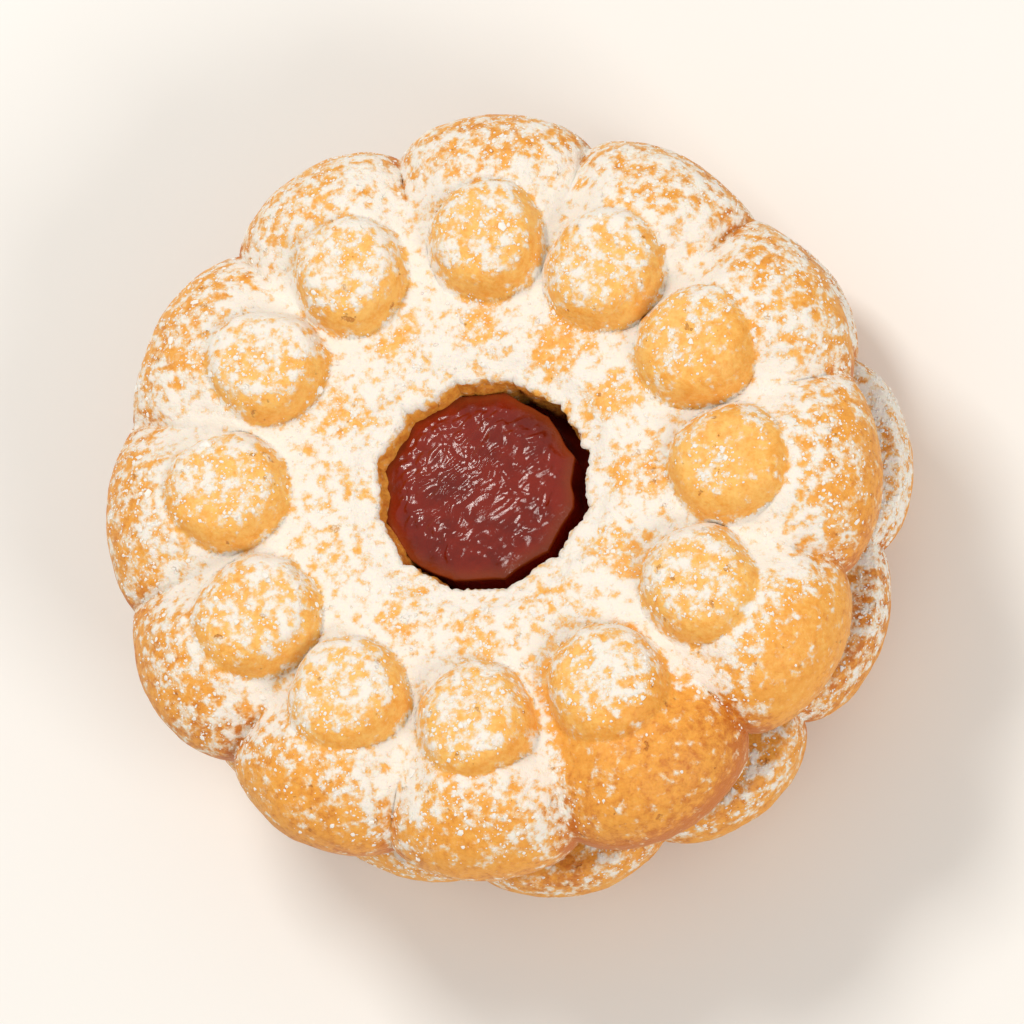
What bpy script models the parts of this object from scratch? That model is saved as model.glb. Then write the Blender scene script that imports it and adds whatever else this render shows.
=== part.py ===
"""Linzer cookie: two moulded shortbread flowers with a thick layer of jam between them.

Metres, +Z up. The cookie lies flat. Its upper biscuit has a fluted hole that the jam rises into,
and its lower biscuit is the same flower without a hole, upside down, resting on its buttons.
The origin is on the table, in the middle of what the cookie covers.
"""

import math

import bmesh
import bpy

PETALS = 12
STEPS_PER_PETAL = 12
PETAL_ANGLE = 2 * math.pi / PETALS

# The biscuit's section. The foot bends at these shares of its tuck and of the rim's height.
BISCUIT_RADIUS = 0.0350
FOOT_TUCK = 0.0011
FOOT_BEND_OUT = 0.25
FOOT_BEND_UP = 0.4
RIM_HEIGHT = 0.0038
RIM_STEPS = 5
CREST_HEIGHT = 0.0099
CREST_RADIUS = 0.0280
DISH_HEIGHT = 0.0083
DISH_RADIUS = 0.0150
DISH_RINGS = (0.0, 0.0055, 0.0105)
DISH_EDGE = 0.0144

# The petals, and the grooves that part them: hollows between the buttons, creases at the rim
PETAL_FULLNESS = 0.90
GROOVE_SHARE = 0.46
GROOVE_START = 0.0115
GROOVE_FULL = 0.0320
HOLLOW_START = 0.30
CREASE_START = 0.0265
CREASE_FULL = 0.0325
CREASE_FULLNESS = 0.95

BUTTON_RING = 0.0222
BUTTON_RADIUS = 0.0060
BUTTON_TOP = 0.0122
BUTTON_FLAT = 0.0002
BUTTON_CROWN = 4
BUTTON_FOOT = 1.6
BUTTON_STEPS = 10

HOLE_RADIUS = 0.0102
FLUTE_DEPTH = 0.0007
FLUTE_FULLNESS = 0.80
LIP_HEIGHT = 0.0070
LIP_WIDTH = 0.0026
LIP_BEND = 0.4

# The jam, with the slow waves of its edge as height, count and start, and the plug that fills the window
JAM_THICKNESS = 0.0078
JAM_RADIUS = 0.0302
JAM_BULGE = 0.0011
JAM_STEPS = 60
JAM_SIDE_STEPS = 6
JAM_WAVES = ((0.0006, 3, 0.8), (0.0003, 7, 0.0))
PLUG_RADIUS = 0.0086
PLUG_RINGS = (0.35, 0.65, 0.87, 1.0)
PLUG_EDGE = 0.0056
PLUG_DOME = 0.0016
PLUG_SHIFT = (-0.00045, 0.00025)
PLUG_FULLNESS = 2.6

GAP = 0.0003
LID_TILT = math.radians(1.6)
LID_TILT_TOWARDS = math.radians(-60)
LID_SHIFT = (-0.0002, -0.0011)
BASE_SHIFT = (0.0002, 0.0011)
BASE_TURN = math.radians(7)
MM = 0.001

SAME_PLACE = 1e-6
ON_EDGE = 1e-5
SHARP_ANGLE = math.radians(50)
SHORTBREAD_COLOUR = (0.83, 0.42, 0.09)
SHORTBREAD_ROUGHNESS = 0.75
JAM_COLOUR = (0.16, 0.02, 0.015)
JAM_ROUGHNESS = 0.25

# How far each petal reaches past the mean radius, and how deep the notch after it is, in millimetres
LID_REACH = (0.0, 0.3, -0.2, 0.2, 0.3, -0.1, -0.2, 0.2, 0.0, -0.2, 0.4, 0.1)
LID_NOTCH = (1.4, 1.2, 2.1, 2.3, 2.1, 1.4, 1.5, 2.7, 1.8, 2.5, 2.9, 2.5)
BASE_REACH = (0.2, -0.3, 0.1, 0.3, -0.2, 0.0, 0.3, -0.3, 0.2, -0.1, 0.1, -0.2)
BASE_NOTCH = (2.4, 2.8, 2.2, 1.9, 2.6, 2.3, 2.7, 2.0, 2.5, 2.9, 2.1, 2.4)

LID_CENTRE_HEIGHT = BUTTON_TOP - BUTTON_FLAT + JAM_THICKNESS


def smooth_step(low, high, value):
    """0 below low, 1 above high and an S-curve between them."""
    share = min(1.0, max(0.0, (value - low) / (high - low)))
    return share * share * (3 - 2 * share)


def arch(across, fullness):
    """A round arch over -1 to 1: 1 in the middle, 0 at both ends, steeper there as fullness nears 1."""
    floor = math.sqrt(1 - fullness**2)
    return (math.sqrt(max(0.0, 1 - (fullness * across) ** 2)) - floor) / (1 - floor)


def petal_at(angle):
    """Which petal lies at an angle, and where across it: 0 on its middle line, -1 and 1 in its grooves."""
    turn = angle / PETAL_ANGLE
    nearest = round(turn)
    return nearest % PETALS, 2 * (turn - nearest)


def groove_depth(radius, across):
    """Depth of a groove, 0 to 1: a soft hollow between two buttons, a sharp crease at the rim."""
    hollow = smooth_step(HOLLOW_START, 1.0, abs(across))
    crease = 1 - arch(across, CREASE_FULLNESS)
    shape = hollow + (crease - hollow) * smooth_step(CREASE_START, CREASE_FULL, radius)
    return shape * smooth_step(GROOVE_START, GROOVE_FULL, radius)


def button_swell(spread):
    """How far a button rises at a share of its radius: 1 at its crown, 0 at its foot, steep between."""
    return (1 - spread**BUTTON_CROWN) ** BUTTON_FOOT


def plain_height(radius):
    """Height of the biscuit's face along the middle of a petal, without its button."""
    if radius < CREST_RADIUS:
        lip = LIP_HEIGHT - DISH_HEIGHT
        hollow = lip * (1 - smooth_step(HOLE_RADIUS - FLUTE_DEPTH, HOLE_RADIUS + LIP_WIDTH, radius))
        swell = (CREST_HEIGHT - DISH_HEIGHT) * smooth_step(DISH_RADIUS, CREST_RADIUS, radius)
        return DISH_HEIGHT + hollow + swell
    share = min(1.0, (radius - CREST_RADIUS) / (BISCUIT_RADIUS - CREST_RADIUS))
    return RIM_HEIGHT + (CREST_HEIGHT - RIM_HEIGHT) * math.sqrt(1 - share**2)


def biscuit_profile(with_hole):
    """(radius, height) down the biscuit's section: over its face, round its rim and back along its base."""
    if with_hole:
        middle = [HOLE_RADIUS + LIP_WIDTH * share for share in (0.0, LIP_BEND, 1.0)]
        inner_wall = [(HOLE_RADIUS, 0.0), (HOLE_RADIUS, LIP_HEIGHT / 2)]
    else:
        middle = list(DISH_RINGS)
        inner_wall = [(0.0, 0.0)]
    steps = range(BUTTON_STEPS + 1)
    button_rings = [BUTTON_RING + BUTTON_RADIUS * (2 * i / BUTTON_STEPS - 1) for i in steps]
    face = [(radius, plain_height(radius)) for radius in middle + [DISH_EDGE] + button_rings]
    if not with_hole:
        face = [(radius, max(height, DISH_HEIGHT)) for radius, height in face]
    rim = []
    for i in range(1, RIM_STEPS + 1):
        bend = i / RIM_STEPS * math.pi / 2
        reach = CREST_RADIUS + (BISCUIT_RADIUS - CREST_RADIUS) * math.sin(bend)
        rim.append((reach, RIM_HEIGHT + (CREST_HEIGHT - RIM_HEIGHT) * math.cos(bend)))
    foot_bend = (BISCUIT_RADIUS - FOOT_BEND_OUT * FOOT_TUCK, FOOT_BEND_UP * RIM_HEIGHT)
    foot = [foot_bend, (BISCUIT_RADIUS - FOOT_TUCK, 0.0)]
    return face + rim + foot + inner_wall


def pressed_flower(x, y, z, reach, notch, with_hole, resting):
    """Where a point of the turned biscuit goes when petals, grooves, buttons and flutes are pressed in."""
    radius = math.hypot(x, y)
    if radius < SAME_PLACE:
        return x, y, z
    angle = math.atan2(y, x)
    petal, across = petal_at(angle)
    outer = smooth_step(BUTTON_RING, BISCUIT_RADIUS, radius)
    beside = (across + 1) / 2
    drawn_in = MM * (notch[petal - 1] * (1 - beside) + notch[petal] * beside)
    swell = arch(across, PETAL_FULLNESS)
    grown = radius + outer * (MM * reach[petal] * swell - drawn_in * (1 - swell))
    if with_hole and radius < HOLE_RADIUS + ON_EDGE:
        grown = radius - FLUTE_DEPTH * arch(across, FLUTE_FULLNESS)
    if z > RIM_HEIGHT + SAME_PLACE and radius > HOLE_RADIUS + ON_EDGE:
        z = RIM_HEIGHT + (z - RIM_HEIGHT) * (1 - GROOVE_SHARE * groove_depth(radius, across))
        off_axis = grown * math.sin(across * PETAL_ANGLE / 2)
        off_ring = grown * math.cos(across * PETAL_ANGLE / 2) - BUTTON_RING
        spread = math.hypot(off_axis, off_ring) / BUTTON_RADIUS
        if spread < 1:
            z += (BUTTON_TOP - z) * button_swell(spread)
        if resting:
            z = min(z, BUTTON_TOP - BUTTON_FLAT)
    return grown * math.cos(angle), grown * math.sin(angle), z


def turned_mesh(name, profile, closed, steps):
    """A profile in the XZ plane turned round Z with a Screw modifier, as a mesh of its own."""
    line = bpy.data.meshes.new(name + "_profile")
    last = len(profile) if closed else len(profile) - 1
    edges = [(i, (i + 1) % len(profile)) for i in range(last)]
    line.from_pydata([(radius, 0.0, height) for radius, height in profile], edges, [])
    turner = bpy.data.objects.new(name + "_turner", line)
    bpy.context.scene.collection.objects.link(turner)
    screw = turner.modifiers.new("Turn", "SCREW")
    screw.axis = "Z"
    screw.angle = 2 * math.pi
    screw.steps = steps
    screw.render_steps = steps
    screw.use_merge_vertices = True
    screw.merge_threshold = SAME_PLACE
    bpy.context.view_layer.update()
    depsgraph = bpy.context.evaluated_depsgraph_get()
    mesh = bpy.data.meshes.new_from_object(turner.evaluated_get(depsgraph))
    bpy.data.objects.remove(turner)
    bpy.data.meshes.remove(line)
    mesh.name = name
    return mesh


def finish_mesh(mesh, place):
    """Moves every vertex by place(x, y, z), welds the pole and turns the faces outwards."""
    shaped = bmesh.new()
    shaped.from_mesh(mesh)
    for vertex in shaped.verts:
        vertex.co = place(*vertex.co)
    bmesh.ops.remove_doubles(shaped, verts=shaped.verts, dist=SAME_PLACE)
    bmesh.ops.recalc_face_normals(shaped, faces=shaped.faces)
    shaped.to_mesh(mesh)
    shaped.free()
    mesh.shade_smooth()
    mesh.set_sharp_from_angle(angle=SHARP_ANGLE)
    return mesh


def food_material(name, colour, roughness):
    """A Principled material of one colour."""
    material = bpy.data.materials.new(name)
    material.use_nodes = True
    shader = material.node_tree.nodes["Principled BSDF"]
    shader.inputs["Base Color"].default_value = (*colour, 1.0)
    shader.inputs["Roughness"].default_value = roughness
    shader.inputs["Metallic"].default_value = 0.0
    return material


def make_object(name, mesh, material, collection):
    mesh.materials.append(material)
    made = bpy.data.objects.new(name, mesh)
    collection.objects.link(made)
    return made


def make_biscuit(name, reach, notch, with_hole, material, collection):
    """One biscuit with its flat base at z 0 and its embossed face up."""
    mesh = turned_mesh(name, biscuit_profile(with_hole), with_hole, PETALS * STEPS_PER_PETAL)
    finish_mesh(mesh, lambda x, y, z: pressed_flower(x, y, z, reach, notch, with_hole, not with_hole))
    return make_object(name, mesh, material, collection)


def jam_profile():
    """(radius, height) of the jam: its domed plug in the hole, its top, its bulging side and its bottom."""
    roof = JAM_THICKNESS - GAP
    plug = []
    for share in (0.0, *PLUG_RINGS):
        dome = PLUG_DOME * (1 - share**PLUG_FULLNESS)
        plug.append((PLUG_RADIUS * share, roof + PLUG_EDGE + dome))
    side = []
    for i in range(JAM_SIDE_STEPS + 1):
        bend = (i / JAM_SIDE_STEPS - 0.5) * math.pi
        height = JAM_THICKNESS / 2 - math.sin(bend) * (JAM_THICKNESS / 2 - GAP)
        side.append((JAM_RADIUS + JAM_BULGE * (math.cos(bend) - 0.5), height))
    return plug + [(PLUG_RADIUS, roof)] + side + [(0.0, GAP)]


def squeezed_jam(x, y, z):
    """Follows the tilt of the upper biscuit and gives the jam's edge its slow waves."""
    angle = math.atan2(y, x)
    radius = math.hypot(x, y)
    in_hole = radius < PLUG_RADIUS + ON_EDGE
    wave = sum(height * math.sin(count * angle + start) for height, count, start in JAM_WAVES)
    grown = radius + wave * smooth_step(PLUG_RADIUS, JAM_RADIUS, radius)
    x, y = grown * math.cos(angle), grown * math.sin(angle)
    off_x, off_y = x - LID_SHIFT[0], y - LID_SHIFT[1]
    lift = math.tan(LID_TILT) * (off_x * math.cos(LID_TILT_TOWARDS) + off_y * math.sin(LID_TILT_TOWARDS))
    share = min(1.0, max(0.0, (z - GAP) / (JAM_THICKNESS - 2 * GAP)))
    if in_hole:
        x, y = x + (LID_SHIFT[0] + PLUG_SHIFT[0]) * share, y + (LID_SHIFT[1] + PLUG_SHIFT[1]) * share
    return x, y, z + lift * share


def main():
    for old in list(bpy.data.objects):
        bpy.data.objects.remove(old)
    cookie = bpy.data.collections.new("linzer_cookie")
    bpy.context.scene.collection.children.link(cookie)
    shortbread = food_material("shortbread", SHORTBREAD_COLOUR, SHORTBREAD_ROUGHNESS)
    jam = food_material("jam", JAM_COLOUR, JAM_ROUGHNESS)

    base = make_biscuit("lower_biscuit", BASE_REACH, BASE_NOTCH, False, shortbread, cookie)
    base.rotation_euler = (math.pi, 0.0, BASE_TURN)
    base.location = (*BASE_SHIFT, BUTTON_TOP - BUTTON_FLAT)

    filling = make_object(
        "jam_filling",
        finish_mesh(turned_mesh("jam_filling", jam_profile(), False, JAM_STEPS), squeezed_jam),
        jam,
        cookie,
    )
    filling.location = (0.0, 0.0, BUTTON_TOP - BUTTON_FLAT)

    lid = make_biscuit("upper_biscuit", LID_REACH, LID_NOTCH, True, shortbread, cookie)
    lid.rotation_mode = "AXIS_ANGLE"
    lid.rotation_axis_angle = (
        LID_TILT,
        math.sin(LID_TILT_TOWARDS),
        -math.cos(LID_TILT_TOWARDS),
        0.0,
    )
    lid.location = (*LID_SHIFT, LID_CENTRE_HEIGHT)


main()
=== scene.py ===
"""Looks of a linzer cookie: two stamped shortbread flowers, the jam between them and powdered sugar."""

import itertools
import math

import bmesh
import bpy
import numpy as np
from mathutils import Matrix, Vector


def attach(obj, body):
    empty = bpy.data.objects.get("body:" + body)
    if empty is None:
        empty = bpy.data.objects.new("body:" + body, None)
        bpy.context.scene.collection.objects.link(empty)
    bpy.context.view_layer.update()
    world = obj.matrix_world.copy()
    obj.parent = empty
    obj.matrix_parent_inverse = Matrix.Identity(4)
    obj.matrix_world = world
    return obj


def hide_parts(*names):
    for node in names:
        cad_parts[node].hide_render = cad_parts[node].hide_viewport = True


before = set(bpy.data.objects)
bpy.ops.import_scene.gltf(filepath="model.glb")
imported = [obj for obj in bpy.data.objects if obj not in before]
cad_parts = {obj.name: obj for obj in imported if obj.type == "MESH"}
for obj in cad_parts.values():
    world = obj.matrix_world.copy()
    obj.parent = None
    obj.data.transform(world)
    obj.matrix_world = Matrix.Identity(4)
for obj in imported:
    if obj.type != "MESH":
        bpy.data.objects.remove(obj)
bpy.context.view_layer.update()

MM = 0.001

# The stamped flower, with the sizes of the frame's biscuits
PETALS = 12
PETAL_ANGLE = 2 * math.pi / PETALS
PETAL_FULLNESS = 0.90
BISCUIT_RADIUS = 35.0 * MM
FOOT_TUCK = 1.1 * MM
FOOT_BEND = 2.7
RIM_HEIGHT = 3.8 * MM
CREST_HEIGHT = 9.9 * MM
CREST_RADIUS = 28.0 * MM
DISH_HEIGHT = 8.3 * MM
DISH_RADIUS = 15.0 * MM
GROOVE_SHARE = 0.46
GROOVE_START = 11.5 * MM
GROOVE_FULL = 32.0 * MM
CREASE_START = 26.5 * MM
CREASE_FULL = 32.5 * MM
CREASE_DEPTH = 1.25
BUTTON_RING = 22.2 * MM
BUTTON_RADIUS = 5.4 * MM
BUTTON_TOP = 12.2 * MM
BUTTON_FLAT = 0.2 * MM
BUTTON_HOLLOW = 0.06
BUTTON_UNEVENNESS = 0.07
HOLE_RADIUS = 10.2 * MM
HOLE_EDGE_WIDTH = 1.2 * MM
FLUTE_DEPTH = 0.7 * MM
FLUTE_FULLNESS = 0.80
LIP_HEIGHT = 7.0 * MM
LIP_WIDTH = 2.6 * MM
WALL_LEAN = 0.75 * MM
WALL_LEAN_HEIGHT = 4.8 * MM
WALL_LEAN_TOWARDS = math.radians(165)

# How the three pieces lie on each other
JAM_THICKNESS = 7.8 * MM
GAP = 0.3 * MM
LID_TILT = math.radians(1.6)
LID_TILT_TOWARDS = math.radians(-60)
LID_SHIFT = (-0.2 * MM, -1.1 * MM)
BASE_SHIFT = (0.2 * MM, 1.1 * MM)
BASE_TURN = math.radians(7)
STANDING_HEIGHT = BUTTON_TOP - BUTTON_FLAT

# The jam: a disc with a bulging side, and a plug with a low dome in the window
JAM_RADIUS = 30.2 * MM
JAM_BULGE = 1.1 * MM
PLUG_RADIUS = 8.6 * MM
PLUG_EDGE = 5.6 * MM
PLUG_DOME = 1.6 * MM
PLUG_SHIFT = (-0.72 * MM, 0.42 * MM)
PLUG_FULLNESS = 2.6
PLUG_UNEVENNESS = 0.34 * MM
PLUG_REACH = 0.35 * MM
PLUG_TOOTH = 0.35 * MM
PLUG_INSET = 0.1 * MM
WRINKLE_START = 8.2 * MM
WRINKLE_FULL = 6.6 * MM
WRINKLE_TURN = math.radians(-45)
SMOOTH_SPOT = (0.8 * MM, -2.6 * MM)
SMOOTH_SPOT_RADIUS = 2.1 * MM

# One number for each petal, from the petal at +X onwards, anticlockwise
UPPER = {
    "seed": 11,
    "reach": np.array((0.0, 0.3, -0.2, 0.2, 0.3, -0.1, -0.2, 0.2, 0.0, -0.2, 0.4, 0.1)) * MM,
    "notch": np.array((1.4, 1.2, 2.1, 2.3, 2.1, 1.4, 1.5, 2.7, 2.4, 2.5, 2.9, 2.5)) * MM,
    "button_turn": np.radians((0.8, -0.4, -1.2, -1.5, 1.1, -0.9, -0.2, 0.2, -1.3, 0.0, 0.8, 1.8)),
    "button_out": np.array((0.1, 0.0, -0.5, -0.3, 0.3, 0.0, 0.3, 0.6, 0.0, -0.4, 0.1, 0.2)) * MM,
    "button_size": np.array((1.0, 1.02, 1.03, 1.0, 0.97, 0.98, 1.0, 1.04, 1.0, 0.98, 1.0, 1.0)),
    "button_rise": np.array((0.82, 0.80, 0.84, 0.88, 0.84, 0.82, 0.80, 0.82, 0.85, 0.86, 0.82, 0.87)),
    "button_sugar": np.array((0.34, 0.26, 0.48, 0.46, 0.56, 0.58, 0.50, 0.54, 0.52, 0.46, 0.42, 0.50)),
    "ridge_sugar": np.array((0.46, 0.30, 0.30, 0.46, 0.46, 0.58, 0.68, 0.64, 0.68, 0.56, 0.62, 0.44)),
    "lobe_sugar": np.array((0.56, 0.62, 0.66, 0.62, 0.56, 0.48, 0.46, 0.50, 0.48, 0.56, 0.02, 0.58)),
    "edge_sugar": np.array((0.30, 0.46, 0.54, 0.50, 0.44, 0.40, 0.34, 0.26, 0.16, 0.30, 0.00, 0.06)),
    # each petal's browning; its share towards the foot is partly painted shade
    "baked_and_shaded": np.array((0.06, 0.06, 0.08, 0.12, 0.14, 0.15, 0.15, 0.15, 0.18, 0.08, 0.36, 0.0)),
}
LOWER = {
    "seed": 47,
    "reach": np.array((0.2, -0.3, 0.1, 0.3, -0.2, 0.0, 0.3, -0.3, 0.2, -0.1, 0.1, -0.2)) * MM,
    "notch": np.array((2.4, 2.8, 2.2, 1.9, 2.6, 2.3, 2.7, 2.0, 2.5, 2.9, 2.1, 2.4)) * MM,
    "button_turn": np.radians((0.5, -0.8, 0.9, 0.2, -0.4, 1.2, -0.6, 0.3, 0.7, -1.0, 0.4, -0.2)),
    "button_out": np.array((0.2, -0.1, 0.1, -0.3, 0.0, 0.3, -0.2, 0.1, -0.1, 0.2, 0.0, -0.2)) * MM,
    "button_size": np.array((1.0, 0.97, 1.02, 1.0, 1.03, 0.98, 1.0, 1.01, 0.97, 1.0, 1.02, 0.99)),
    "button_rise": np.ones(PETALS),
    "button_sugar": np.full(PETALS, 0.06),
    "ridge_sugar": np.full(PETALS, 0.06),
    "lobe_sugar": np.full(PETALS, 0.12),
    "edge_sugar": np.full(PETALS, 0.24),
    "baked_and_shaded": np.array((0.0, 0.1, 0.0, 0.05, -0.05, 0.0, 0.1, 0.0, 0.05, 0.0, -0.05, 0.05)),
}

# Powdered sugar, 0 for none to 1 for a closed layer
DISH_SUGAR = 0.80
GROOVE_SUGAR = 0.88
BUTTON_FOOT_SUGAR = 0.14

# Browning and painted shade, 0 pale to 1 brown: the crease term is painted shade, the foot term browning and
# painted shade
BROWN_EVERYWHERE = 0.24
BROWN_RIM = 0.20
# darker towards the foot: partly browning, partly painted shade
FOOT_BROWNING_AND_SHADE = 0.12
BROWN_BLOTCHES = 0.20
PALE_BUTTONS = 0.10
BROWN_WALL = 0.42
# painted shade in the creases at the rim
PAINTED_CREASE_SHADE = 0.24

# Loose grains: how many, their middle radius and the spread of its logarithm
GRAIN_SEED = 5
UPPER_GRAINS = (9600, 0.08 * MM, 0.45)
LOWER_GRAINS = (3600, 0.085 * MM, 0.42)
JAM_GRAINS = (1200, 0.062 * MM, 0.62)

# Rows and columns of the grids
BISCUIT_COLUMNS = 720
FACE_ROWS = 86
FACE_ROWS_WITH_HOLE = 72
RIM_ROWS = 32
FOOT_ROWS = 7
OUTER_BACK_ROWS = 8
INNER_BACK_ROWS = 5
WALL_ROWS = 10
JAM_COLUMNS = 420
PLUG_TOP_ROWS = 74
PLUG_WALL_ROWS = 11
JAM_COVER_ROWS = 13
JAM_SIDE_ROWS = 29
JAM_UNDER_ROWS = 9

# Colours, linear
PALE_DOUGH = (0.92, 0.53, 0.14)
GOLDEN_DOUGH = (0.84, 0.365, 0.054)
BROWN_DOUGH = (0.56, 0.160, 0.017)
# painted shade for the recesses of the dough's pits
PAINTED_PIT_SHADE = (0.42, 0.12, 0.02)
SUGAR_WHITE = (0.88, 0.822, 0.745)
SUGAR_CREAM = (0.85, 0.645, 0.39)
GRAIN_WHITE = (0.95, 0.92, 0.87)
JAM_RED = (0.215, 0.012, 0.003)
JAM_DARK = (0.14, 0.008, 0.003)
JAM_DEEP = (0.12, 0.007, 0.002)
JAM_AMBER = (0.27, 0.058, 0.011)
PAPER_LIGHT = (0.86, 0.85, 0.83)
PAPER_WARM = (0.82, 0.80, 0.77)

# Lights and camera
KEY_LIGHT = {"at": (-0.28, 0.34, 0.72), "size": 0.22, "power": 3.2, "colour": (1.0, 0.965, 0.91)}
FILL_LIGHT = {"at": (0.50, -0.45, 0.60), "size": 0.28, "power": 2.8, "colour": (1.0, 0.97, 0.92)}
SURROUND_COLOUR = (1.0, 0.97, 0.92, 1.0)
SURROUND_STRENGTH = 0.56
CAMERA_AZIMUTH = math.radians(36)
CAMERA_ELEVATION = math.radians(71.5)
CAMERA_DISTANCE = 0.76
CAMERA_TARGET = (0.0005, -0.0010, 0.0175)
CAMERA_LENS = 300


def smooth_step(low, high, value):
    """0 below low, 1 above high and an S-curve, 3t^2 - 2t^3, between them."""
    share = np.clip((value - low) / (high - low), 0.0, 1.0)
    return share * share * (3 - 2 * share)


def arch(across, fullness):
    """A round arch over -1 to 1: 1 in the middle, 0 at both ends, steeper there as fullness nears 1."""
    floor = math.sqrt(1 - fullness**2)
    return (np.sqrt(np.maximum(0.0, 1 - (fullness * across) ** 2)) - floor) / (1 - floor)


def bump_at(value, middle, width):
    """A round bump, exp(-t^2), where t is the distance from the middle in widths."""
    return np.exp(-(((value - middle) / width) ** 2))


def lattice_numbers(corner, seed):
    """A fixed random number from 0 to 1 for every whole-number point of space."""
    mixed = (corner[..., 0] * 73856093) ^ (corner[..., 1] * 19349663) ^ (corner[..., 2] * 83492791)
    mixed = (mixed + seed * 97531) & 0xFFFFFFFF
    mixed = ((mixed ^ (mixed >> 15)) * 2246822519) & 0xFFFFFFFF
    mixed = ((mixed ^ (mixed >> 13)) * 3266489917) & 0xFFFFFFFF
    return (mixed ^ (mixed >> 16)) / 0xFFFFFFFF


def soft_noise(points, cell, seed):
    """Smooth noise from -1 to 1: the eased mean of the random numbers at the corners of a point's cell."""
    place = points / cell
    corner = np.floor(place).astype(np.int64)
    part = place - corner
    part = part * part * (3 - 2 * part)
    total = np.zeros(points.shape[:-1])
    for step in itertools.product((0, 1), repeat=3):
        share = np.prod(np.where(step, part, 1 - part), axis=-1)
        total += share * lattice_numbers(corner + step, seed)
    return 2 * total - 1


def layered_noise(points, cell, layers, seed):
    """Soft noise with finer layers on it, each half as wide and 0.6 times as high as the one before."""
    heights = [0.6**layer for layer in range(layers)]
    parts = [soft_noise(points, cell / 2**layer, seed + layer) * heights[layer] for layer in range(layers)]
    return sum(parts) / sum(heights)


def pebble_noise(points, cell, seed):
    """1 in the middle of round pebbles and 0 between them: one less the distance to the nearest middle."""
    place = points / cell
    corner = np.floor(place).astype(np.int64)
    nearest = np.full(points.shape[:-1], 9.0)
    for step in itertools.product((-1, 0, 1), repeat=3):
        near = corner + step
        middle = np.stack([lattice_numbers(near, seed + 100 * axis) for axis in range(3)], axis=-1)
        nearest = np.minimum(nearest, np.sum((near + middle - place) ** 2, axis=-1))
    return np.clip(1 - np.sqrt(nearest), 0.0, 1.0)


def repeated(rows, columns):
    """Each of some rows of numbers as a grid with that many equal columns."""
    return [np.repeat(row[:, None], columns, axis=1) for row in rows]


def grid_normals(points, closed):
    """Outward unit normals: the cross product of the step to the next row and the step to the next column."""
    across = np.roll(points, -1, axis=1) - np.roll(points, 1, axis=1)
    if closed:
        along = np.roll(points, -1, axis=0) - np.roll(points, 1, axis=0)
    else:
        along = np.gradient(points, axis=0)
    normals = np.cross(along, across)
    length = np.linalg.norm(normals, axis=-1, keepdims=True)
    normals = normals / np.maximum(length, 1e-15)
    if not closed:
        normals[0], normals[-1] = (0, 0, 1), (0, 0, -1)
    return normals


def ring_faces(rows, columns, closed):
    """Quads between each row and the next, round the ring of columns, and back to the first row if closed."""
    row = np.arange(rows if closed else rows - 1)[:, None]
    column = np.arange(columns)[None, :]
    here, below = row * columns, (row + 1) % rows * columns
    beside = (column + 1) % columns
    corners = (here + column, below + column, below + beside, here + beside)
    return np.stack(corners, axis=-1).reshape(-1, 4)


def mesh_from_arrays(name, points, faces, attributes):
    """A smooth mesh from arrays of points and faces, with one number for each point in each attribute."""
    mesh = bpy.data.meshes.new(name)
    sides = faces.shape[1]
    mesh.vertices.add(len(points))
    mesh.vertices.foreach_set("co", points.astype(np.float32).ravel())
    mesh.loops.add(faces.size)
    mesh.loops.foreach_set("vertex_index", faces.astype(np.int32).ravel())
    mesh.polygons.add(len(faces))
    mesh.polygons.foreach_set("loop_start", np.arange(0, faces.size, sides, dtype=np.int32))
    mesh.update(calc_edges=True)
    mesh.validate()
    for key, numbers in attributes.items():
        attribute = mesh.attributes.new(key, "FLOAT", "POINT")
        attribute.data.foreach_set("value", numbers.astype(np.float32).ravel())
    mesh.shade_smooth()
    return mesh


def close_poles(mesh):
    """Welds the first and the last row of an open grid, which lie in one spot each, into one vertex each."""
    welded = bmesh.new()
    welded.from_mesh(mesh)
    bmesh.ops.remove_doubles(welded, verts=welded.verts, dist=1e-7)
    welded.to_mesh(mesh)
    welded.free()


def make_piece(mesh, material, body, slot, *nodes):
    """Puts a mesh in the scene as a piece on a body and hides the nodes that it replaces; slot is not used.
    """
    piece = bpy.data.objects.new(mesh.name, mesh)
    bpy.context.scene.collection.objects.link(piece)
    mesh.materials.append(material)
    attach(piece, body)
    if nodes:
        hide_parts(*nodes)


def placed(points, matrix):
    """Points moved by a 4 by 4 matrix."""
    turn = np.array(matrix.to_3x3())
    return points @ turn.T + np.array(matrix.translation)


def plain_height(radius):
    """Height of the face along a petal's middle: lip, dish and swell by S-curves, then a quarter ellipse."""
    lip = 1 - smooth_step(HOLE_RADIUS - FLUTE_DEPTH, HOLE_RADIUS + LIP_WIDTH, radius)
    hollow = (LIP_HEIGHT - DISH_HEIGHT) * lip
    swell = (CREST_HEIGHT - DISH_HEIGHT) * smooth_step(DISH_RADIUS, CREST_RADIUS, radius)
    share = np.clip((radius - CREST_RADIUS) / (BISCUIT_RADIUS - CREST_RADIUS), 0.0, 1.0)
    shoulder = RIM_HEIGHT + (CREST_HEIGHT - RIM_HEIGHT) * np.sqrt(1 - share**2)
    return np.where(radius < CREST_RADIUS, DISH_HEIGHT + hollow + swell, shoulder)


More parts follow.
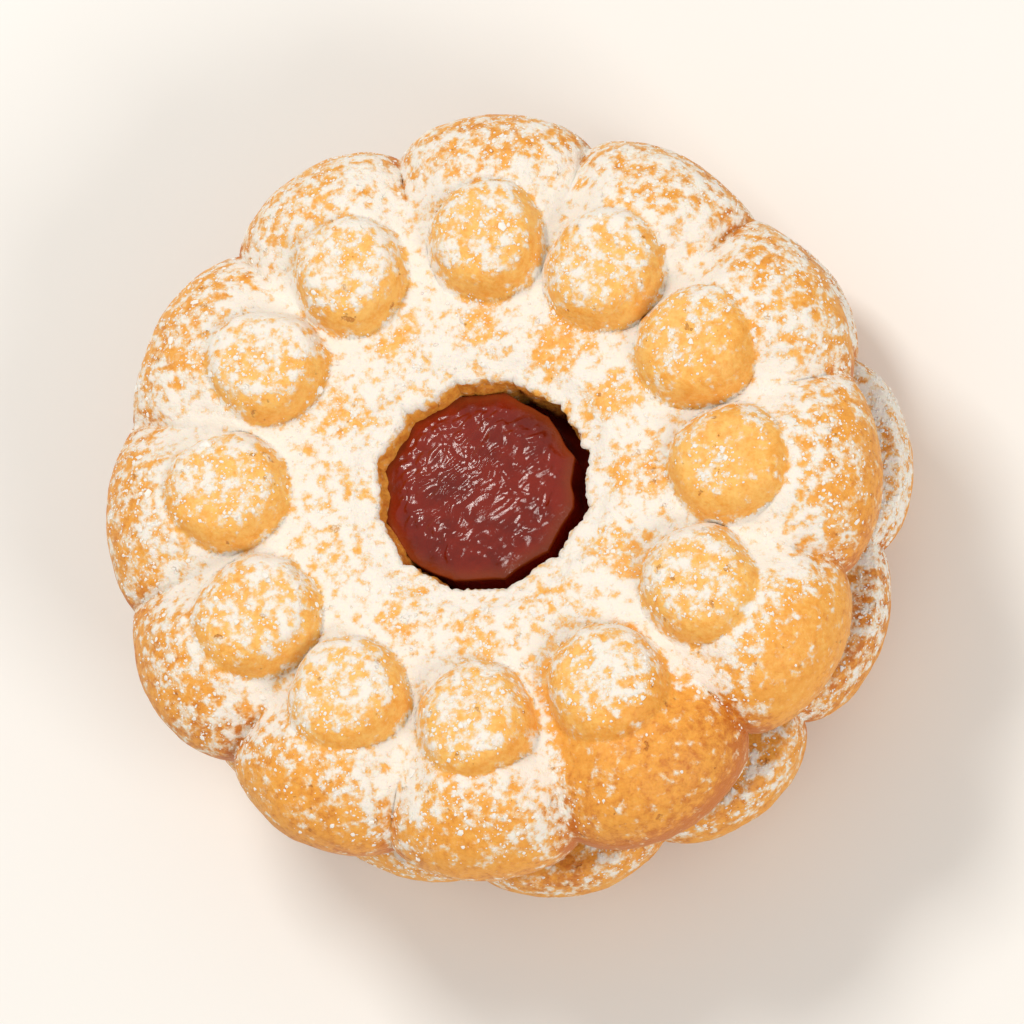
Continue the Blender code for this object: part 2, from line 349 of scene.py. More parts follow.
def biscuit_section(with_hole):
    """Radius, height and kind of each row of the section: over the face, round the rim, under the base.

    The face is kind 0, the foot and base kind 1 and the wall of the hole kind 2.
    """
    inner = HOLE_RADIUS if with_hole else 0.0
    face = np.linspace(inner, CREST_RADIUS, FACE_ROWS_WITH_HOLE if with_hole else FACE_ROWS)
    bend = np.linspace(0, math.pi / 2, RIM_ROWS + 1)[1:]
    rim = CREST_RADIUS + (BISCUIT_RADIUS - CREST_RADIUS) * np.sin(bend)
    shoulder = RIM_HEIGHT + (CREST_HEIGHT - RIM_HEIGHT) * np.cos(bend)
    drop = np.linspace(0, 1, FOOT_ROWS + 1)[1:]
    foot = BISCUIT_RADIUS - FOOT_TUCK * drop**FOOT_BEND
    outer_back = np.linspace(foot[-1], CREST_RADIUS, OUTER_BACK_ROWS + 1)[1:]
    inner_back = np.linspace(CREST_RADIUS, inner, INNER_BACK_ROWS + 1)[1:]
    back = np.concatenate((outer_back, inner_back))
    radii = [face, rim, foot, back]
    heights = [plain_height(face), shoulder, RIM_HEIGHT * (1 - drop), 0 * back]
    if not with_hole:
        heights[0] = np.maximum(heights[0], DISH_HEIGHT)
    kinds = [np.zeros(len(face) + len(rim)), np.ones(len(foot) + len(back))]
    if with_hole:
        climb = np.linspace(0, LIP_HEIGHT, WALL_ROWS + 2)[1:-1]
        radii.append(np.full(len(climb), HOLE_RADIUS))
        heights.append(climb)
        kinds.append(np.full(len(climb), 2.0))
    return np.concatenate(radii), np.concatenate(heights), np.concatenate(kinds)


def hole_wall(radius, height, angle, across):
    """Radius of the hole's wall: fluted inwards by an arch across each petal, ragged by two noises, and
    leaning in on one side below the height where an S-curve takes it back."""
    on_turned = np.stack((radius * np.cos(angle), radius * np.sin(angle), height), axis=-1)
    ragged = 0.26 * layered_noise(on_turned, 1.6 * MM, 2, 8)
    ragged = ragged + 0.28 * layered_noise(on_turned, 0.65 * MM, 2, 13)
    leaning = smooth_step(-0.2, 0.6, np.cos(angle - WALL_LEAN_TOWARDS))
    leaning = leaning * (1 - smooth_step(WALL_LEAN_HEIGHT, LIP_HEIGHT, height))
    return radius - FLUTE_DEPTH * arch(across, FLUTE_FULLNESS) + ragged * MM - WALL_LEAN * leaning


def raise_buttons(x, y, height, kind, biscuit):
    """The face with its buttons on it, and the distance from the nearest button's middle in its radii.

    Each button lifts the face by (1 - s^5)^0.85 less a shallow hollow exp(-(s/0.55)^2), where s is that
    distance, roughened by noise.
    """
    spread = np.full(x.shape, 9.0)
    foot_height = height.copy()
    on_face = np.stack((x, y, 0 * x), axis=-1)
    uneven = 1 + BUTTON_UNEVENNESS * layered_noise(on_face, 4.0 * MM, 2, biscuit["seed"] + 60)
    for number in range(PETALS):
        at = number * PETAL_ANGLE + biscuit["button_turn"][number]
        ring = BUTTON_RING + biscuit["button_out"][number]
        size = BUTTON_RADIUS * biscuit["button_size"][number]
        apart = uneven * np.hypot(x - ring * math.cos(at), y - ring * math.sin(at)) / size
        inside = np.clip(apart, 0, 1)
        lift = (1 - inside**5) ** 0.85 - BUTTON_HOLLOW * bump_at(inside, 0.0, 0.55)
        top = foot_height + (BUTTON_TOP - foot_height) * lift * biscuit["button_rise"][number]
        height = np.where((kind == 0) & (apart < 1), np.maximum(height, top), height)
        spread = np.minimum(spread, apart)
    return height, spread


def stamped_flower(biscuit, with_hole):
    """The stamped biscuit on a grid of section rows by angles, its base at z 0 and its face up.

    The rim is drawn in by an arch of the place x across each petal. The grooves lower the face by an S-curve
    of x between the buttons and by the sharper 1 - (1 - x^3)^0.8 at the rim.
    """
    radius, height, kind = repeated(biscuit_section(with_hole), BISCUIT_COLUMNS)
    rows = len(radius)
    angle = np.linspace(0, 2 * math.pi, BISCUIT_COLUMNS, endpoint=False)[None, :]
    drift = math.radians(0.9) * np.sin(2 * angle + biscuit["seed"])
    drift = drift + math.radians(0.5) * np.sin(5 * angle + 2.1)
    turn = (angle + drift) / PETAL_ANGLE
    petal = np.repeat(np.round(turn).astype(int) % PETALS, rows, axis=0)
    across = np.repeat(2 * (turn - np.round(turn)), rows, axis=0)

    beside = (across + 1) / 2
    swell = arch(across, PETAL_FULLNESS)
    drawn_in = biscuit["notch"][petal - 1] * (1 - beside) + biscuit["notch"][petal] * beside
    outer = smooth_step(BUTTON_RING, BISCUIT_RADIUS, radius)
    grown = radius + outer * (biscuit["reach"][petal] * swell - drawn_in * (1 - swell))
    if with_hole:
        near_hole = 1 - smooth_step(HOLE_RADIUS, HOLE_RADIUS + HOLE_EDGE_WIDTH, radius)
        grown = grown + (hole_wall(radius, height, angle, across) - grown) * near_hole

    soft_groove = smooth_step(0.30, 1.0, np.abs(across))
    crease = CREASE_DEPTH * (1 - (1 - np.abs(across) ** 3) ** 0.8)
    at_rim = smooth_step(CREASE_START, CREASE_FULL, radius)
    groove = smooth_step(GROOVE_START, GROOVE_FULL, radius)
    groove = groove * (soft_groove + (crease - soft_groove) * at_rim)
    lowered = RIM_HEIGHT + (height - RIM_HEIGHT) * (1 - GROOVE_SHARE * groove)
    height = np.where(height > RIM_HEIGHT, lowered, height)
    x, y = grown * np.cos(angle), grown * np.sin(angle)
    height, spread = raise_buttons(x, y, height, kind, biscuit)
    points = np.stack((x, y, height), axis=-1)
    return {
        "points": points,
        "normals": grid_normals(points, with_hole),
        "angle": np.repeat(angle, rows, axis=0),
        "radius": radius,
        "height": height,
        "kind": kind,
        "petal": petal,
        "across": across,
        "spread": spread,
    }


def petal_values(flower, values):
    """One value for each petal, eased into its neighbours' along the grooves."""
    petal, across = flower["petal"], flower["across"]
    beside = (petal + np.sign(across).astype(int)) % PETALS
    share = 0.5 * smooth_step(0.72, 1.0, np.abs(across))
    return values[petal] * (1 - share) + values[beside] * share


def sugar_on_face(flower, biscuit):
    """How much powdered sugar covers the face, 0 for none to 1 for a closed layer.

    The dish and the grooves keep most, a petal's lobe its own share that fades to its edge share down the
    rim, the ridges between the buttons and the hole their own, and a button its own, more towards +Y and
    less on the side that faces +X and -Y, away from the key light, which leaves a line of painted shade.
    Soft noise breaks up the borders.
    """
    points, normals, seed = flower["points"], flower["normals"], biscuit["seed"]
    radius, spread = flower["radius"], flower["spread"]
    lobe = petal_values(flower, biscuit["lobe_sugar"])
    edge = petal_values(flower, biscuit["edge_sugar"])
    ridge = petal_values(flower, biscuit["ridge_sugar"])
    button = petal_values(flower, biscuit["button_sugar"])
    between = smooth_step(0.30, 0.85, np.abs(flower["across"]))

    down_rim = smooth_step(27.5 * MM, 34.0 * MM, radius)
    cover = lobe + (edge - lobe) * down_rim
    in_dish = 1 - smooth_step(16.0 * MM, 20.0 * MM, radius)
    on_ridge = (1 - between) * smooth_step(10.5 * MM, 12.5 * MM, radius)
    cover = cover + (DISH_SUGAR + (ridge - DISH_SUGAR) * on_ridge - cover) * in_dish
    in_groove = between * (1 - 0.72 * down_rim)
    cover = cover + (GROOVE_SUGAR - cover) * in_groove * smooth_step(0.05, 0.4, lobe)

    on_button = 1 - smooth_step(0.90, 1.02, spread)
    towards = (normals[..., 1] * 0.94 + normals[..., 0] * 0.2) * smooth_step(0.2, 0.9, spread)
    patchy = 0.34 * layered_noise(points, 2.6 * MM, 2, seed + 9)
    cover = cover + (button + 0.34 * towards + patchy - cover) * on_button
    # painted shade: sugar is taken off the buttons' sides that face away from the key light, baring a darker
    # line
    key_shadow_side = smooth_step(-0.1, 0.5, 0.8 * normals[..., 0] - 0.6 * normals[..., 1])
    painted_button_shade_line = smooth_step(0.70, 0.88, spread) * (1 - smooth_step(0.96, 1.06, spread)) * key_shadow_side
    button_foot = BUTTON_FOOT_SUGAR * bump_at(spread, 1.12, 0.10)

    steep = 1 - smooth_step(0.15, 0.60, normals[..., 2])
    noise = 0.26 * layered_noise(points, 5.0 * MM, 3, seed)
    noise = noise + 0.20 * layered_noise(points, 1.3 * MM, 2, seed + 5)
    cover = cover + button_foot - 0.26 * steep * (1 - in_groove) - 0.42 * painted_button_shade_line + noise
    return np.clip(cover, 0.0, 1.0)


def upper_sugar(flower):
    """Sugar of the upper biscuit: its face's, a little on the foot with white flakes along its thin edge, and
    none on the hole's wall."""
    cover = sugar_on_face(flower, UPPER)
    foot = petal_values(flower, UPPER["edge_sugar"]) * smooth_step(0, RIM_HEIGHT, flower["height"])
    flaky = smooth_step(-0.2, 0.4, layered_noise(flower["points"], 2.5 * MM, 3, 5))
    thin_edge = 1 - smooth_step(0.4 * MM, 1.5 * MM, flower["height"])
    thin_edge = thin_edge * (flower["radius"] > BISCUIT_RADIUS - 2 * FOOT_TUCK)
    foot = np.clip(foot + (0.35 + 0.4 * flaky) * thin_edge, 0, 1)
    return np.select([flower["kind"] == 0, flower["kind"] == 1], [cover, foot], 0.0)


def lower_sugar(flower):
    """Sugar of the lower biscuit: most on the flat margin beside the jam, most of all at +X, some down the
    sides and hardly any beneath."""
    noise = 0.25 * layered_noise(flower["points"], 4.0 * MM, 3, 61)
    margin = smooth_step(30.5 * MM, 32.0 * MM, flower["radius"]) * (flower["kind"] == 1)
    side = 0.20 * bump_at(flower["height"], 2.0 * MM, 3.2 * MM) * (flower["radius"] > 30 * MM)
    dusted = 0.14 + 0.30 * bump_at(np.cos(flower["angle"]), 1.0, 0.2)
    return np.clip(0.03 + side + dusted * margin + noise * (0.3 + margin), 0.0, 1.0)


def browning_and_shade(flower, baked_and_shaded, seed):
    """How brown the dough is, 0 pale to 1 brown, with painted shade in it: more down the rim, darker towards
    the foot by browning and painted shade, painted shade in the creases there, less on the buttons, in soft
    blotches and by each petal's own value."""
    radius, height = flower["radius"], flower["height"]
    rim = smooth_step(25 * MM, 33.5 * MM, radius)
    low = 1 - smooth_step(1.0 * MM, 7.0 * MM, height)
    blotch = BROWN_BLOTCHES * layered_noise(flower["points"], 7 * MM, 3, seed)
    crown = PALE_BUTTONS * (1 - smooth_step(0.6, 1.1, flower["spread"]))
    wall = BROWN_WALL * (flower["kind"] == 2)
    # towards the foot a petal's own value is partly browning and partly painted shade
    own = 0.5 * smooth_step(20 * MM, 29 * MM, radius) + 1.6 * low * rim
    own = petal_values(flower, baked_and_shaded) * own
    # painted shade: the creases at the rim are darkened as if in shadow
    crease = PAINTED_CREASE_SHADE * smooth_step(0.72, 1.0, np.abs(flower["across"]))
    crease = crease * smooth_step(28 * MM, 33 * MM, radius)
    total = BROWN_EVERYWHERE + BROWN_RIM * rim + FOOT_BROWNING_AND_SHADE * low * rim + blotch - crown + wall + own + crease
    return np.clip(total, 0.0, 1.0)


def biscuit_relief(flower, sugar, seed):
    """Height of dough and sugar over the stamped shape, in metres.

    Broad soft swells and fine crumb in the dough, and over it a layer of sugar that thickens with its cover
    into soft drifts and pebbly lumps. The thin foot is left nearly plain, so that the pieces stay apart, and
    the hole's broken wall is rougher.
    """
    points = flower["points"]
    dough = 0.24 * layered_noise(points, 6.0 * MM, 2, seed + 20)
    dough = dough + 0.12 * layered_noise(points, 1.6 * MM, 3, seed + 23)
    closed = smooth_step(0.40, 0.95, sugar)
    drift = 0.16 + 0.10 * layered_noise(points, 2.2 * MM, 3, seed + 27)
    lumps = 0.10 * pebble_noise(points, 0.85 * MM, seed + 31)
    lumps = lumps + 0.05 * pebble_noise(points, 0.5 * MM, seed + 33)
    roughness = np.select([flower["kind"] == 0, flower["kind"] == 2], [1.0, 2.2], 0.25)
    return (dough + closed * (drift + lumps)) * roughness * MM


def ragged_foot(flower, seed):
    """How far the thin foot edge frays outwards, in metres: short flakes by noise."""
    edge = bump_at(flower["height"], 0.0, 0.9 * MM)
    edge = edge * (flower["radius"] > BISCUIT_RADIUS - 1.5 * FOOT_TUCK)
    fray = 0.75 * layered_noise(flower["points"], 2.2 * MM, 3, seed) + 0.20
    return edge * fray * MM


def dressed_biscuit(name, biscuit, with_hole, sugar_rule, place, top):
    """A biscuit's mesh with its relief, no higher than top, with its sugar and its browning with painted
    shade as attributes, set in its place."""
    flower = stamped_flower(biscuit, with_hole)
    sugar = sugar_rule(flower)
    lift = biscuit_relief(flower, sugar, biscuit["seed"])[..., None]
    points = flower["points"] + flower["normals"] * lift
    outward = np.stack((np.cos(flower["angle"]), np.sin(flower["angle"]), 0 * lift[..., 0]), axis=-1)
    points = points + outward * ragged_foot(flower, biscuit["seed"] + 40)[..., None]
    points[..., 2] = np.minimum(points[..., 2], top)
    points = placed(points, place)
    faces = ring_faces(*points.shape[:2], with_hole)
    attributes = {"sugar": sugar, "browning_and_shade": browning_and_shade(flower, biscuit["baked_and_shaded"], biscuit["seed"] + 50)}
    mesh = mesh_from_arrays(name, points.reshape(-1, 3), faces, attributes)
    if not with_hole:
        close_poles(mesh)
    return mesh, points, grid_normals(points, with_hole), sugar


class Value:
    """A number in a material, so that plain arithmetic on it adds Math nodes."""

    def __init__(self, finish, socket):
        self.finish = finish
        self.socket = socket

    def maths(self, operation, *others):
        return self.finish.add("Math", {"operation": operation}, dict(enumerate((self, *others))))

    def __add__(self, other):
        return self.maths("ADD", other)

    def __sub__(self, other):
        return self.maths("SUBTRACT", other)

    def __mul__(self, other):
        return self.maths("MULTIPLY", other)

    __radd__ = __add__
    __rmul__ = __mul__

    def step(self, low, high):
        """0 below low, 1 above high and an S-curve between them."""
        settings = {"interpolation_type": "SMOOTHSTEP"}
        return self.finish.add("MapRange", settings, {"Value": self, "From Min": low, "From Max": high})


class Finish:
    """One material: add() makes any node from its type, its settings and the values of its sockets."""

    def __init__(self, name):
        self.material = bpy.data.materials.new(name)
        self.material.use_nodes = True
        self.nodes = self.material.node_tree.nodes
        self.nodes.clear()

    def add(self, kind, settings=None, sockets=None, output=0):
        node = self.nodes.new("ShaderNode" + kind)
        for key, value in (settings or {}).items():
            setattr(node, key, value)
        for key, value in (sockets or {}).items():
            if isinstance(value, Value):
                self.material.node_tree.links.new(value.socket, node.inputs[key])
            else:
                node.inputs[key].default_value = value
        return Value(self, node.outputs[output])

    def place(self):
        return self.add("TexCoord", output=3)

    def attribute(self, name):
        return self.add("Attribute", {"attribute_name": name}, output=2)

    def noise(self, size, detail, roughness, shift=0.0):
        """Noise with features of about that size in metres, 0 to 1."""
        moved = self.add("VectorMath", {"operation": "ADD"}, {0: self.place(), 1: (shift, shift, shift)})
        sockets = {"Vector": moved, "Scale": 1 / size, "Detail": detail, "Roughness": roughness}
        return self.add("TexNoise", {}, sockets)

    def blend(self, share, first, second):
        """A colour between two colours."""
        rgba = [value if isinstance(value, Value) else (*value, 1.0) for value in (first, second)]
        return self.add("Mix", {"data_type": "RGBA"}, {0: share, 6: rgba[0], 7: rgba[1]}, output=2)

    def bump(self, height, distance):
        """A normal that follows a height, counted in that distance in metres."""
        return self.add("Bump", {}, {"Height": height, "Distance": distance, "Strength": 1.0})

    def skin(self, **sockets):
        """The Principled shader, wired to the material's output."""
        named = {key.replace("_", " "): value for key, value in sockets.items()}
        shader = self.add("BsdfPrincipled", {}, named)
        end = self.nodes.new("ShaderNodeOutputMaterial")
        self.material.node_tree.links.new(shader.socket, end.inputs["Surface"])
        return self.material


def sugared_shortbread():
    """Baked butter dough, mottled, with crumb and a few pits darkened by painted shade, and powdered sugar in
    flecks and patches where the sugar attribute says. The relief is in millimetres."""
    finish = Finish("sugared_shortbread")
    mottle = finish.noise(0.9 * MM, 3.0, 0.70)
    crumb = finish.noise(0.45 * MM, 2.0, 0.65, 0.11)
    # the browning attribute also holds painted shade in the rim creases and towards the foot
    baked_and_shaded = finish.attribute("browning_and_shade") + 1.25 * (mottle - 0.5) + 0.42 * (crumb - 0.5)
    dough = finish.blend(baked_and_shaded.step(-0.1, 0.5), PALE_DOUGH, GOLDEN_DOUGH)
    dough = finish.blend(baked_and_shaded.step(0.4, 1.0), dough, BROWN_DOUGH)
    pits = finish.noise(1.5 * MM, 3.0, 0.6, 0.83).step(0.67, 0.72)
    # painted shade: the pits are darkened as if in shadow
    dough = finish.blend(0.6 * pits, dough, PAINTED_PIT_SHADE)

    cover = finish.attribute("sugar")
    speckle = finish.noise(1.05 * MM, 4.0, 0.62, 0.17)
    patches = finish.noise(2.6 * MM, 3.0, 0.6, 0.53)
    amount = cover + 3.1 * (speckle - 0.5) + 0.8 * (patches - 0.5)
    thin = amount.step(0.20, 0.62)
    thick = amount.step(0.40, 0.88)
    colour = finish.blend(0.7 * thin, dough, SUGAR_CREAM)
    colour = finish.blend(thick, colour, SUGAR_WHITE)

    grain = finish.noise(0.16 * MM, 2.0, 0.6, 0.71)
    crust = 0.16 * (mottle + 0.42 * crumb - 0.6 * pits)
    relief = crust + 0.07 * amount.step(0.3, 1.1) + 0.016 * grain * (0.25 + 0.75 * thin)
    return finish.skin(
        Base_Color=colour,
        Roughness=0.50 + 0.38 * thin,
        Normal=finish.bump(relief, MM),
        Specular_IOR_Level=0.35,
        Subsurface_Weight=0.18,
        Subsurface_Radius=(1.0, 0.55, 0.3),
        Subsurface_Scale=0.8 * MM,
    )


def powdered_sugar():
    """Loose grains of powdered sugar: soft matte white with a fine grain."""
    finish = Finish("powdered_sugar")
    shade = finish.noise(0.7 * MM, 2.0, 0.5)
    colour = finish.blend(shade, SUGAR_WHITE, GRAIN_WHITE)
    return finish.skin(
        Base_Color=colour,
        Roughness=0.85,
        Normal=finish.bump(finish.noise(0.09 * MM, 2.0, 0.5), 0.03 * MM),
        Specular_IOR_Level=0.3,
        Subsurface_Weight=0.25,
        Subsurface_Radius=(1.0, 0.85, 0.7),
        Subsurface_Scale=0.3 * MM,
    )


def set_jam():
    """Set fruit jam: deep red, amber where it thins out at the window's edge, glossy in the window and satin
    with sugar dust down its side."""
    finish = Finish("set_jam")
    side = finish.attribute("side")
    body = finish.noise(3.5 * MM, 4.0, 0.6)
    colour = finish.blend(body.step(0.35, 0.70), JAM_RED, JAM_DARK)
    colour = finish.blend(finish.attribute("thin_edge"), colour, JAM_AMBER)
    colour = finish.blend(0.85 * side, colour, JAM_DEEP)
    dust = finish.attribute("dust") + 1.5 * (finish.noise(0.5 * MM, 5.0, 0.7, 0.4) - 0.5)
    dusty = dust.step(0.60, 0.80)
    colour = finish.blend(0.8 * dusty, colour, SUGAR_CREAM)
    fine = finish.noise(0.30 * MM, 3.0, 0.6, 0.9)
    return finish.skin(
        Base_Color=colour,
        Roughness=0.16 + 0.22 * side + 0.4 * dusty,
        Normal=finish.bump(fine, 0.035 * MM),
        Specular_IOR_Level=0.5,
        Subsurface_Weight=0.12,
        Subsurface_Radius=(1.0, 0.2, 0.1),
        Subsurface_Scale=1.0 * MM,
    )


def pale_floor():
    """Warm off-white paper."""
    finish = Finish("pale_floor")
    tone = finish.noise(40 * MM, 2.0, 0.5)
    return finish.skin(Base_Color=finish.blend(0.3 * tone, PAPER_LIGHT, PAPER_WARM), Roughness=0.6)


def jam_section():
    """Radius, height and kind of the jam's rows: 0 on the plug's top, 1 on its wall, 2 on the cover, 3 on the
    side and 4 beneath."""
    rim = JAM_RADIUS - JAM_BULGE / 2
    roof = JAM_THICKNESS - GAP
    top = np.linspace(0, 1, PLUG_TOP_ROWS)
    wall = np.linspace(1, 0, PLUG_WALL_ROWS + 1)[1:]
    cover = np.linspace(PLUG_RADIUS, rim, JAM_COVER_ROWS + 1)[1:]
    bend = np.linspace(-math.pi / 2, math.pi / 2, JAM_SIDE_ROWS + 1)[1:]
    under = np.linspace(rim, 0, JAM_UNDER_ROWS + 1)[1:]
    radii = (
        top * PLUG_RADIUS,
        np.full(len(wall), PLUG_RADIUS),
        cover,
        JAM_RADIUS + JAM_BULGE * (np.cos(bend) - 0.5),
        under,
    )
    heights = (
        roof + (PLUG_EDGE + PLUG_DOME * (1 - top**PLUG_FULLNESS)),
        roof + PLUG_EDGE * wall,
        np.full(len(cover), roof),
        JAM_THICKNESS / 2 - np.sin(bend) * (JAM_THICKNESS / 2 - GAP),
        np.full(len(under), GAP),
    )
    kinds = [np.full(len(part), number) for number, part in enumerate(radii)]
    return np.concatenate(radii), np.concatenate(heights), np.concatenate(kinds)


def plug_outline(angle):
    """How far the plug in the window reaches past its radius: by noise, towards the wall that leans in, and
    by a tooth between each two flutes, one less an arch."""
    circle = PLUG_RADIUS * np.stack((np.cos(angle), np.sin(angle), 0 * angle), axis=-1)
    outline = PLUG_UNEVENNESS * layered_noise(circle, 2.4 * MM, 2, 77)
    outline = outline + PLUG_REACH * np.maximum(0.0, np.cos(angle - WALL_LEAN_TOWARDS)) ** 2
    across = 2 * (angle / PETAL_ANGLE - np.round(angle / PETAL_ANGLE))
    return outline + PLUG_TOOTH * (1 - arch(across, FLUTE_FULLNESS)) - PLUG_INSET


def jam_relief(points, radius, kind):
    """Height of the jam's skin, in metres: fine wrinkles drawn out one way in the window, less in a smooth
    spot, and soft lumps there and down the side."""
    smooth_spot = bump_at(np.linalg.norm(points[..., :2] - SMOOTH_SPOT, axis=-1), 0.0, SMOOTH_SPOT_RADIUS)
    window = (1 - smooth_step(WRINKLE_FULL, WRINKLE_START, radius)) * (kind == 0)
    window = window * (1 - 0.85 * smooth_spot)
    swirl = np.stack([soft_noise(points, 1.8 * MM, 70 + axis) for axis in range(3)], axis=-1)
    swirl = points + 0.5 * MM * swirl
    stretched = placed(swirl, Matrix.Rotation(WRINKLE_TURN, 4, "Z")) * np.array((0.45, 1.0, 1.0))
    wrinkle = 0.9 * pebble_noise(stretched, 0.66 * MM, 81) + 0.6 * pebble_noise(swirl, 0.95 * MM, 84)
    wrinkle = wrinkle - 0.5 + 0.25 * soft_noise(stretched, 0.5 * MM, 82)
    lumpy = layered_noise(points, 4.0 * MM, 3, 90)
    return (0.33 * wrinkle * window + 0.20 * lumpy * window + 0.34 * lumpy * (kind == 3)) * MM


def squeezed_jam():
    """The jam on a grid of section rows by angles: it follows the upper biscuit's tilt, its edge runs in slow
    waves, and the plug's outline and the relief are laid over it."""
    radius, height, kind = repeated(jam_section(), JAM_COLUMNS)
    angle = np.linspace(0, 2 * math.pi, JAM_COLUMNS, endpoint=False)[None, :]
    in_hole = kind <= 1
    wave = 0.6 * MM * np.sin(3 * angle + 0.8) + 0.3 * MM * np.sin(7 * angle)
    edge = wave * smooth_step(PLUG_RADIUS, JAM_RADIUS, radius)
    plug_edge = plug_outline(angle) * (radius / PLUG_RADIUS) ** 2
    grown = radius + np.where(in_hole, plug_edge, edge)
    points = np.stack((grown * np.cos(angle), grown * np.sin(angle), height), axis=-1)
    points = points + grid_normals(points, False) * jam_relief(points, radius, kind)[..., None]

    share = np.clip((points[..., 2] - GAP) / (JAM_THICKNESS - 2 * GAP), 0.0, 1.0)
    toward = (points[..., 0] - LID_SHIFT[0]) * math.cos(LID_TILT_TOWARDS)
    toward = toward + (points[..., 1] - LID_SHIFT[1]) * math.sin(LID_TILT_TOWARDS)
    points[..., 2] += math.tan(LID_TILT) * toward * share
    for axis in range(2):
        points[..., axis] += np.where(in_hole, (LID_SHIFT[axis] + PLUG_SHIFT[axis]) * share, 0.0)
    points[..., 2] += STANDING_HEIGHT
    attributes = {
        "side": (kind >= 2).astype(float),
        "thin_edge": 0.55 * bump_at(radius, PLUG_RADIUS, 0.8 * MM) * (kind == 0),
        "dust": np.where(kind == 3, 0.32 + 0.3 * layered_noise(points, 9 * MM, 2, 95), 0.0),
    }
    faces = ring_faces(*points.shape[:2], False)
    mesh = mesh_from_arrays("jam", points.reshape(-1, 3), faces, attributes)
    close_poles(mesh)
    return mesh, points, grid_normals(points, False), kind


def icosahedron():
    """Corners (0, +-1, +-golden ratio), turned through all three axes, and the twenty triangles of nearest
    corners."""
    golden = (1 + math.sqrt(5)) / 2
    flat = [(0, a, b * golden) for a in (-1, 1) for b in (-1, 1)]
    corners = np.array([np.roll(corner, turn) for turn in range(3) for corner in flat])
    faces = []
    for face in itertools.combinations(range(12), 3):
        a, b, c = corners[list(face)]
        if max(np.linalg.norm(a - b), np.linalg.norm(b - c), np.linalg.norm(c - a)) < 2.01:
            outward = np.dot(np.cross(b - a, c - a), a) > 0
            faces.append(face if outward else face[::-1])
    return corners / np.linalg.norm(corners[0]), np.array(faces)


def scattered_grains(name, points, normals, chance, count, size, spread, rng):
    """Many small lumps on a grid surface, as one mesh.

    A cell gets a lump with a chance that follows chance times its area. Each is an icosahedron with shaken
    corners, its radius size times exp(spread times a normal draw), flattened along the surface's normal and
    half sunk in.
    """
    step_down = np.roll(points, -1, axis=0) - points
    step_on = np.roll(points, -1, axis=1) - points
    weight = np.linalg.norm(np.cross(step_down, step_on), axis=-1) * chance
    weight[-1] = 0
    weight = weight.ravel() / weight.sum()
    cell = rng.choice(weight.size, count, p=weight)
    down, on = rng.random((2, count, 1))
    start = points.reshape(-1, 3)[cell]
    start = start + step_down.reshape(-1, 3)[cell] * down + step_on.reshape(-1, 3)[cell] * on
    normal = normals.reshape(-1, 3)[cell]
    side = np.cross(normal, rng.normal(size=(count, 3)))
    side /= np.linalg.norm(side, axis=-1, keepdims=True)
    other = np.cross(normal, side)
    radius = size * np.exp(spread * rng.normal(size=count))

    corners, faces = icosahedron()
    shape = corners[None] * (1 + 0.22 * rng.normal(size=(count, 12, 1)))
    length = 1 + 0.3 * rng.normal(size=count)
    thickness = rng.uniform(0.35, 0.6, count)
    stretch = np.stack((length, np.ones(count), thickness), axis=-1)
    shape = shape * (np.clip(stretch, 0.35, 1.7) * radius[:, None])[:, None]
    axes = np.stack((side, other, normal), axis=1)
    middle = start + normal * (0.05 * radius)[:, None]
    lumps = np.einsum("nvk,nkd->nvd", shape, axes) + middle[:, None]
    all_faces = faces[None] + 12 * np.arange(count)[:, None, None]
    mesh = mesh_from_arrays(name, lumps.reshape(-1, 3), all_faces.reshape(-1, 3), {})
    mesh.shade_flat()
    return mesh


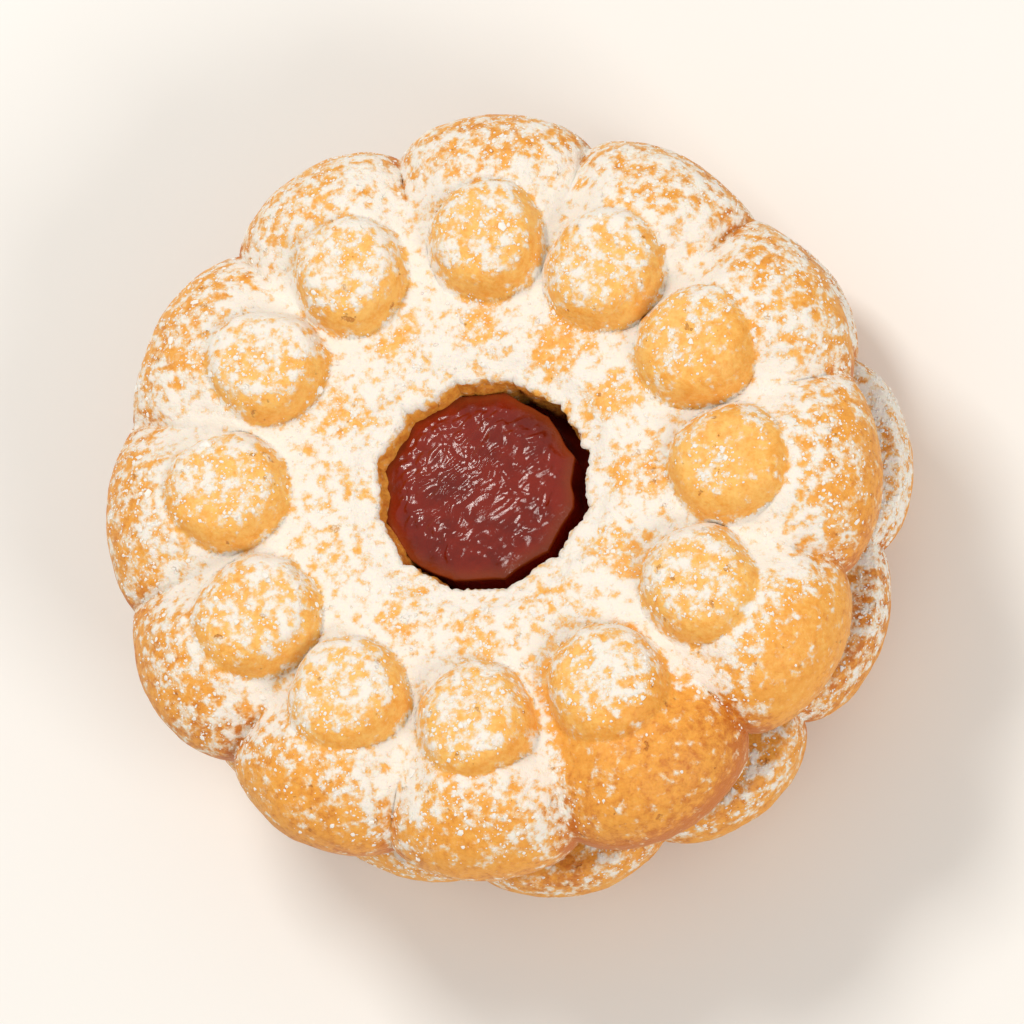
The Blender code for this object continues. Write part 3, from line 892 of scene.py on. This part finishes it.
def make_cookie():
    """The three replaced pieces and the loose sugar on them."""
    rng = np.random.default_rng(GRAIN_SEED)
    shortbread, sugar_finish, jam_finish = sugared_shortbread(), powdered_sugar(), set_jam()
    tilt_axis = Vector((math.sin(LID_TILT_TOWARDS), -math.cos(LID_TILT_TOWARDS), 0.0))
    tilt = Matrix.Rotation(LID_TILT, 4, tilt_axis)
    upper_place = Matrix.Translation((*LID_SHIFT, STANDING_HEIGHT + JAM_THICKNESS)) @ tilt
    turn_over = Matrix.Rotation(BASE_TURN, 4, "Z") @ Matrix.Rotation(math.pi, 4, "X")
    lower_place = Matrix.Translation((*BASE_SHIFT, STANDING_HEIGHT)) @ turn_over

    mesh, points, normals, sugar = dressed_biscuit(
        "upper_shortbread", UPPER, True, upper_sugar, upper_place, math.inf
    )
    make_piece(mesh, shortbread, "root", "shortbread", "upper_biscuit")
    chance = (0.08 + bump_at(sugar, 0.45, 0.22)) * smooth_step(0.05, 0.3, sugar)
    chance = chance * np.clip(normals[..., 2], 0.05, 1)
    grains = scattered_grains("upper_sugar_grains", points, normals, chance, *UPPER_GRAINS, rng)
    make_piece(grains, sugar_finish, "root", "shortbread")

    mesh, points, normals, sugar = dressed_biscuit(
        "lower_shortbread", LOWER, False, lower_sugar, lower_place, STANDING_HEIGHT
    )
    make_piece(mesh, shortbread, "root", "shortbread", "lower_biscuit")
    chance = smooth_step(0.2, 0.8, sugar) * smooth_step(-0.6, 0.4, normals[..., 2])
    chance = chance * (points[..., 2] > 3 * MM)
    chance = chance * (np.hypot(points[..., 0], points[..., 1]) > JAM_RADIUS + 0.5 * MM)
    grains = scattered_grains("lower_sugar_grains", points, normals, chance, *LOWER_GRAINS, rng)
    make_piece(grains, sugar_finish, "root", "shortbread")

    mesh, points, normals, kind = squeezed_jam()
    make_piece(mesh, jam_finish, "root", "jam", "jam_filling")
    chance = (kind == 3) * smooth_step(-0.2, 0.6, layered_noise(points, 8 * MM, 2, 95))
    grains = scattered_grains("jam_sugar_grains", points, normals, chance, *JAM_GRAINS, rng)
    make_piece(grains, sugar_finish, "root", "jam")


def make_floor():
    """A plain pale floor under the cookie."""
    bpy.ops.mesh.primitive_plane_add(size=4.0)
    floor = bpy.context.object
    floor.name = "floor"
    floor.data.materials.append(pale_floor())


def area_light(name, at, size, power, colour):
    """A square soft light that faces the cookie."""
    light = bpy.data.lights.new(name, "AREA")
    light.size, light.energy, light.color = size, power, colour
    lamp = bpy.data.objects.new(name, light)
    lamp.location = at
    lamp.rotation_euler = Vector(at).to_track_quat("Z", "Y").to_euler()
    bpy.context.scene.collection.objects.link(lamp)


def make_studio():
    """Soft key light from the upper left, a softer fill from the lower right, and a pale surround."""
    area_light("key_light", **KEY_LIGHT)
    area_light("fill_light", **FILL_LIGHT)
    world = bpy.data.worlds.new("surround")
    world.use_nodes = True
    world.node_tree.nodes["Background"].inputs["Color"].default_value = SURROUND_COLOUR
    world.node_tree.nodes["Background"].inputs["Strength"].default_value = SURROUND_STRENGTH
    bpy.context.scene.world = world
    bpy.context.scene.view_settings.view_transform = "Standard"


def make_camera():
    """Looks down on the cookie from the lower right, with +Y upwards in the picture."""
    level = math.cos(CAMERA_ELEVATION)
    across, towards = math.sin(CAMERA_AZIMUTH) * level, -math.cos(CAMERA_AZIMUTH) * level
    back = Vector((across, towards, math.sin(CAMERA_ELEVATION)))
    up = (Vector((0, 1, 0)) - back * back.y).normalized()
    right = up.cross(back)
    camera = bpy.data.cameras.new("camera")
    camera.lens = CAMERA_LENS
    camera.clip_start, camera.clip_end = 0.01, 10
    eye = bpy.data.objects.new("camera", camera)
    turn = Matrix((right, up, back)).transposed().to_4x4()
    eye.matrix_world = Matrix.Translation(Vector(CAMERA_TARGET) + back * CAMERA_DISTANCE) @ turn
    bpy.context.scene.collection.objects.link(eye)
    bpy.context.scene.camera = eye


make_cookie()
make_floor()
make_studio()
make_camera()
